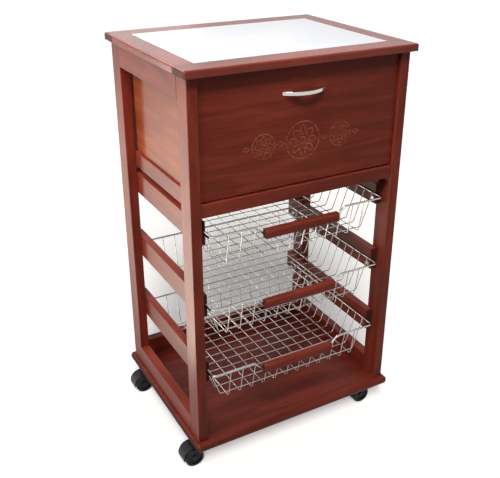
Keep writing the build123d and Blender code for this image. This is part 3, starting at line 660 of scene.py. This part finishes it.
class BREADCART_OT_fittings(bpy.types.Operator):
    """Finish the door handle, catch, pins, plates, screws and dowels."""

    bl_idname = "breadcart.fittings"
    bl_label = "Finish the fittings"

    def execute(self, context):
        metal = settings("cart_metal")
        wood = settings("cart_wood")
        plastic = settings("cart_plastic")
        chrome = (metal.chrome, metal.chrome_roughness, metal.chrome_tarnish)
        coat("door_handle", plated_metal("handle_chrome", *chrome))
        zinc = plated_metal("zinc_plating", metal.zinc, metal.zinc_roughness, metal.zinc_tarnish)
        screws = ("frame_screws", "handle_screws", "caster_screws")
        for node in (*screws, "caster_plates", "catch_plate", "door_pivot_pins"):
            coat(node, zinc)
        brown = moulded_plastic("catch_plastic", plastic.catch, plastic.catch_roughness)
        coat("door_catch", brown)
        beech = tuple(wood.beech)
        dark_beech = tuple(value * wood.beech_shade for value in beech)
        stain(["frame_dowels"], "Y", (dark_beech, beech, beech))
        return {"FINISHED"}


class BREADCART_OT_casters(bpy.types.Operator):
    """Finish the casters' hoods and wheels."""

    bl_idname = "breadcart.casters"
    bl_label = "Finish the casters"

    def execute(self, context):
        plastic = settings("cart_plastic")
        hood = moulded_plastic("hood_plastic", plastic.hood, plastic.hood_roughness)
        wheel = moulded_plastic("wheel_plastic", plastic.wheel, plastic.wheel_roughness, plastic.scuff)
        for corner in CORNERS:
            coat(f"{corner}_caster_hood", hood)
            coat(f"{corner}_caster_wheels", wheel)
        return {"FINISHED"}


def start_fresh():
    """Leave nothing selected, in object mode."""
    if bpy.context.object is not None and bpy.context.object.mode != "OBJECT":
        bpy.ops.object.mode_set(mode="OBJECT")
    bpy.ops.object.select_all(action="DESELECT")


def keep_selected(piece, test):
    """In edit mode, select only the vertices that pass a test on their place."""
    bpy.ops.mesh.select_mode(type="VERT")
    bpy.ops.mesh.select_all(action="DESELECT")
    bpy.ops.object.mode_set(mode="OBJECT")
    for vertex in piece.data.vertices:
        vertex.select = test(vertex.co)
    bpy.ops.object.mode_set(mode="EDIT")


def outline(piece, line, depth):
    """Turn a flat face into a line round its edge, and give it depth."""
    bpy.ops.mesh.select_all(action="SELECT")
    bpy.ops.mesh.inset(thickness=line, depth=0)
    bpy.ops.mesh.delete(type="FACE")
    thicken(piece, depth)


def thicken(piece, depth):
    """Leave edit mode and give a flat piece its depth, upwards from where it lies."""
    bpy.ops.object.mode_set(mode="OBJECT")
    solid = piece.modifiers.new("depth", "SOLIDIFY")
    solid.thickness = depth
    solid.offset = 1
    bpy.ops.object.modifier_apply(modifier=solid.name)


# Shares of a leaf's length: its oval, and how far from its middle the tips start
LEAF_OVAL = 0.8
LEAF_TIP = 0.39


def etched_leaf(long, wide, line, depth):
    """A leaf's outline along X from the origin, pointed at both ends."""
    start_fresh()
    bpy.ops.mesh.primitive_circle_add(vertices=16, radius=0.5, fill_type="NGON")
    blade = bpy.context.object
    bpy.ops.object.mode_set(mode="EDIT")
    bpy.ops.transform.resize(value=(LEAF_OVAL * long, wide, 1))
    for way in (-1, 1):
        keep_selected(blade, lambda point: way * point.x > LEAF_TIP * long)
        bpy.ops.transform.translate(value=(way * (1 - LEAF_OVAL) / 2 * long, 0, 0))
    bpy.ops.mesh.select_all(action="SELECT")
    bpy.ops.transform.translate(value=(long / 2, 0, 0))
    outline(blade, line, depth)
    return blade


def etched_lozenge(long, wide, line, depth):
    """A lozenge's outline about the origin, long along X."""
    start_fresh()
    bpy.ops.mesh.primitive_circle_add(vertices=4, radius=0.5, fill_type="NGON")
    lozenge = bpy.context.object
    bpy.ops.object.mode_set(mode="EDIT")
    bpy.ops.transform.resize(value=(long, wide, 1))
    outline(lozenge, line, depth)
    return lozenge


def etched_ring(across, line, depth):
    """A round line about the origin."""
    start_fresh()
    bpy.ops.mesh.primitive_circle_add(vertices=64, radius=across / 2, fill_type="NGON")
    ring = bpy.context.object
    bpy.ops.object.mode_set(mode="EDIT")
    outline(ring, line, depth)
    return ring


def join(pieces):
    """Several pieces as one."""
    start_fresh()
    for piece in pieces:
        piece.select_set(True)
    bpy.context.view_layer.objects.active = pieces[0]
    bpy.ops.object.join()
    return bpy.context.object


def copy_of(piece, where):
    """A copy with its own mesh, put in place."""
    start_fresh()
    piece.select_set(True)
    bpy.context.view_layer.objects.active = piece
    bpy.ops.object.duplicate()
    made = bpy.context.object
    made.matrix_world = where @ made.matrix_world
    bpy.ops.object.transform_apply(location=True, rotation=True, scale=True)
    return made


def aside(distance):
    """A place on the drawing, to the right of its middle."""
    return Matrix.Translation((distance, 0, 0))


def etched_rosette(line, depth):
    """Petals between a large and a small ring, about the origin."""
    ornament = settings("cart_ornament")
    radius = ornament.ring / 2
    petal_size = (radius * ornament.petal_long, radius * ornament.petal_wide)
    petal = etched_leaf(*petal_size, line * ornament.fine_line, depth)
    parts = [etched_ring(ornament.ring, line, depth), etched_ring(radius * ornament.eye, line, depth)]
    for i in range(ornament.petals):
        turn = Matrix.Rotation(2 * math.pi * i / ornament.petals, 4, "Z")
        parts.append(copy_of(petal, turn @ aside(radius * ornament.petal_start)))
    bpy.data.objects.remove(petal)
    return join(parts)


def etched_grain():
    """Pale etched wood that lets some of the stain through."""
    ornament = settings("cart_ornament")
    wood = settings("cart_wood")
    recipe = Recipe(bpy.data.materials.new("etched_wood"))
    worn = recipe.noise(recipe.place(even(ornament.worn)), detail=4, roughness=0.65)
    fibre_scale = along_grain("X", ornament.fibre_along, ornament.fibre_across)
    fibre = recipe.noise(recipe.place(fibre_scale), detail=2)
    fibres = recipe.spread(fibre, *FIBRE_FADE)
    pale = recipe.blend(fibres, tuple(ornament.etched), tuple(wood.stain_light))
    return recipe.surface(
        Base_Color=recipe.blend(recipe.spread(worn, *WORN_FADE), pale, tuple(wood.stain_middle)),
        Roughness=ornament.roughness + worn * ornament.worn_roughness,
        Specular_IOR_Level=wood.lacquer_gloss,
        Normal=recipe.bump(fibre, strength=0.3, distance=ornament.relief),
    )


class BREADCART_OT_ornament(bpy.types.Operator):
    """Etch a row of three rosettes and four lozenges in the door."""

    bl_idname = "breadcart.ornament"
    bl_label = "Etch the door"

    def execute(self, context):
        ornament = settings("cart_ornament")
        line = ornament.line
        depth = ornament.proud + ornament.sunk
        rosette = etched_rosette(line, depth)
        lozenge_size = (ornament.lozenge, ornament.lozenge * ornament.lozenge_wide)
        lozenge = etched_lozenge(*lozenge_size, line * ornament.fine_line, depth)
        radius = ornament.ring / 2
        side_radius = radius * ornament.side_scale
        gap_middle = (radius + ornament.side_place - side_radius) / 2
        end = ornament.side_place + side_radius + gap_middle - radius
        smaller = Matrix.Diagonal((ornament.side_scale, ornament.side_scale, 1, 1))
        pieces = [rosette]
        for way in (-1, 1):
            pieces.append(copy_of(rosette, aside(way * ornament.side_place) @ smaller))
            for distance in (gap_middle, end):
                pieces.append(copy_of(lozenge, aside(way * distance)))
        bpy.data.objects.remove(lozenge)
        drawing = join(pieces)
        drawing.name = "door_ornament"
        door_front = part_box("door_panel")[0].y
        upright = Matrix.Rotation(math.pi / 2, 4, "X")
        drawing.matrix_world = (
            Matrix.Translation((0, door_front + ornament.sunk, ornament.height)) @ upright
        )
        bpy.ops.object.transform_apply(location=True, rotation=True, scale=True)
        drawing.data.materials.clear()
        drawing.data.materials.append(etched_grain())
        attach(drawing, "door")
        return {"FINISHED"}


def direction(turn, rise):
    """The way from the cart to a thing at a turn round it and a height angle."""
    flat = math.cos(rise)
    return Vector((math.sin(turn) * flat, -math.cos(turn) * flat, math.sin(rise)))


def set_camera():
    """The camera, with its lens off the picture's centre."""
    stage = settings("cart_stage")
    lens = bpy.data.cameras.new("camera")
    lens.sensor_width = SENSOR_WIDTH
    lens.sensor_fit = "HORIZONTAL"
    lens.lens = stage.focal / IMAGE_WIDTH * SENSOR_WIDTH
    lens.shift_x = (IMAGE_WIDTH / 2 - stage.centre_x) / IMAGE_WIDTH
    lens.shift_y = (stage.centre_y - IMAGE_HEIGHT / 2) / IMAGE_WIDTH
    camera = bpy.data.objects.new("camera", lens)
    bpy.context.scene.collection.objects.link(camera)
    ahead = -direction(stage.azimuth, stage.elevation)
    aim = ahead.to_track_quat("-Z", "Y").to_matrix().to_4x4()
    camera.matrix_world = (
        Matrix.Translation(stage.camera) @ aim @ Matrix.Rotation(stage.roll, 4, "Z")
    )
    bpy.context.scene.camera = camera


def seen_directly(recipe):
    """One for rays from the camera, in reflections or in glass, nought for the light on things."""
    path = recipe.node("ShaderNodeLightPath")
    outputs = path.socket.node.outputs
    rays = ("Is Camera Ray", "Is Glossy Ray", "Is Transmission Ray")
    camera, glossy, through = (Tap(recipe, outputs[ray]) for ray in rays)
    return camera.most(glossy).most(through)


def pale_floor():
    """A pale floor that looks white and still shows a soft shadow."""
    stage = settings("cart_stage")
    recipe = Recipe(bpy.data.materials.new("pale_floor"))
    tree = recipe.tree
    matt = recipe.node("ShaderNodeBsdfDiffuse", inputs={"Color": (*stage.floor_bounce, 1)})
    pale = recipe.node("ShaderNodeBsdfDiffuse", inputs={"Color": (*stage.floor, 1)})
    glow_inputs = {"Color": WHITE, "Strength": stage.floor_glow}
    glow = recipe.node("ShaderNodeEmission", inputs=glow_inputs)
    white = recipe.node("ShaderNodeAddShader", inputs={0: pale, 1: glow})
    mixed = recipe.node("ShaderNodeMixShader", inputs={0: seen_directly(recipe), 1: matt, 2: white})
    tree.links.new(mixed.socket, tree.nodes["Material Output"].inputs["Surface"])
    return recipe.owner


def lay_floor():
    """The floor on which the cart stands."""
    start_fresh()
    bpy.ops.mesh.primitive_plane_add(size=settings("cart_stage").floor_size)
    floor = bpy.context.object
    floor.name = "floor"
    floor.data.materials.append(pale_floor())
    return floor


def lamp(name, kind, power, way, where=(0, 0, 0)):
    """A lamp that shines one way and isn't seen itself."""
    data = bpy.data.lights.new(name, kind)
    data.energy = power
    data.color = settings("cart_stage").lamp_tint
    made = bpy.data.objects.new(name, data)
    bpy.context.scene.collection.objects.link(made)
    made.location = where
    made.rotation_euler = Vector(way).to_track_quat("-Z", "Y").to_euler()
    made.visible_camera = False
    return made


def soft_lamp(name, target):
    """A square soft lamp that looks at a point, with its place, size and power from the stage."""
    stage = settings("cart_stage")
    where = Vector(getattr(stage, f"{name}_place"))
    power = getattr(stage, f"{name}_power")
    made = lamp(f"{name}_lamp", "AREA", power, Vector(target) - where, where)
    made.data.shape = "SQUARE"
    made.data.size = getattr(stage, f"{name}_size")
    return made


def sheen_lamp():
    """A long flat lamp near the floor that shines up and shows only in reflections."""
    stage = settings("cart_stage")
    made = lamp("sheen_lamp", "AREA", stage.sheen_power, UP, stage.sheen_place)
    made.data.shape = "RECTANGLE"
    made.data.size = stage.sheen_wide
    made.data.size_y = stage.sheen_long
    made.rotation_euler = (math.pi, 0, stage.sheen_turn)
    made.data.color = stage.sheen_tint
    made.visible_diffuse = False
    return made


def floor_sun(name):
    """The floor's high or low light."""
    stage = settings("cart_stage")
    way = -direction(stage.sun_turn, getattr(stage, f"{name}_rise"))
    made = lamp(f"{name}_sun", "SUN", getattr(stage, f"{name}_power"), way)
    made.data.angle = stage.sun_spread
    return made


def light_group(name, objects, state):
    """The things that a lamp lights, or all but them."""
    group = bpy.data.collections.new(name)
    for i, thing in enumerate(objects):
        group.objects.link(thing)
        group.collection_objects[i].light_linking.link_state = state
    return group


def hang_lamps(floor):
    """Soft lights on the cart, suns on the floor alone and lights that gleam in the lacquer."""
    stage = settings("cart_stage")
    middle = (CAD_BOX[0] + CAD_BOX[1]) / 2
    key = soft_lamp("key", stage.key_aim)
    key.data.spread = stage.key_spread
    ceiling = soft_lamp("ceiling", middle)
    suns = [floor_sun("high"), floor_sun("low")]
    window = soft_lamp("window", middle)
    sheen_lamp()
    edge = soft_lamp("edge", middle)
    edge.visible_diffuse = False
    fill = soft_lamp("fill", middle)
    fill.visible_glossy = False
    soft_lamp("glint", middle)

    border = [NODES[f"top_{rail}_rail"] for rail in ENDS + SIDES]
    edge.light_linking.receiver_collection = light_group("border_only", border, "INCLUDE")
    all_but_floor = light_group("all_but_floor", [floor], "EXCLUDE")
    for soft in (key, ceiling, window, fill):
        soft.light_linking.receiver_collection = all_but_floor
    floor_only = light_group("floor_only", [floor], "INCLUDE")
    for sun in suns:
        sun.light_linking.receiver_collection = floor_only


def whiten_surroundings():
    """Surroundings that look white and throw only a little light on the cart."""
    ambient = settings("cart_stage").ambient
    world = bpy.data.worlds.new("white_surroundings")
    recipe = Recipe(world, "Background")
    recipe.surface(Color=WHITE, Strength=ambient + seen_directly(recipe) * (1 - ambient))
    bpy.context.scene.world = world


class BREADCART_OT_stage(bpy.types.Operator):
    """Set up the camera, the floor, the lamps and the white surroundings."""

    bl_idname = "breadcart.stage"
    bl_label = "Set the stage"

    def execute(self, context):
        context.scene.view_settings.view_transform = "Standard"
        set_camera()
        hang_lamps(lay_floor())
        whiten_surroundings()
        return {"FINISHED"}


class BREADCART_PT_pieces(bpy.types.Panel):
    """The cart's pieces and their settings."""

    bl_idname = "BREADCART_PT_pieces"
    bl_label = "Bread cart"
    bl_space_type = "VIEW_3D"
    bl_region_type = "UI"
    bl_category = "Bread cart"

    def draw(self, context):
        for operator in OPERATORS:
            self.layout.operator(operator.bl_idname)
        for group, kind in GROUPS.items():
            box = self.layout.box()
            box.label(text=kind.__doc__)
            for name in kind.__annotations__:
                box.prop(getattr(context.scene, group), name)


GROUPS = {
    "cart_wood": CartWood,
    "cart_metal": CartMetal,
    "cart_laminate": CartLaminate,
    "cart_plastic": CartPlastic,
    "cart_ornament": CartOrnament,
    "cart_stage": CartStage,
}
OPERATORS = (
    BREADCART_OT_frame,
    BREADCART_OT_worktop,
    BREADCART_OT_bread_box,
    BREADCART_OT_baskets,
    BREADCART_OT_fittings,
    BREADCART_OT_casters,
    BREADCART_OT_ornament,
    BREADCART_OT_stage,
)


def register():
    """Make the settings, operators and panel known."""
    for group, kind in GROUPS.items():
        bpy.utils.register_class(kind)
        setattr(bpy.types.Scene, group, PointerProperty(type=kind))
    for kind in (*OPERATORS, BREADCART_PT_pieces):
        bpy.utils.register_class(kind)


def unregister():
    """Take the settings, operators and panel away again."""
    for kind in (BREADCART_PT_pieces, *reversed(OPERATORS)):
        bpy.utils.unregister_class(kind)
    for group, kind in GROUPS.items():
        delattr(bpy.types.Scene, group)
        bpy.utils.unregister_class(kind)


def main():
    """Finish the cart piece by piece and set the stage."""
    register()
    bpy.ops.breadcart.frame()
    bpy.ops.breadcart.worktop()
    bpy.ops.breadcart.bread_box()
    bpy.ops.breadcart.baskets()
    bpy.ops.breadcart.fittings()
    bpy.ops.breadcart.casters()
    bpy.ops.breadcart.ornament()
    bpy.ops.breadcart.stage()


if __name__ == "__main__":
    main()
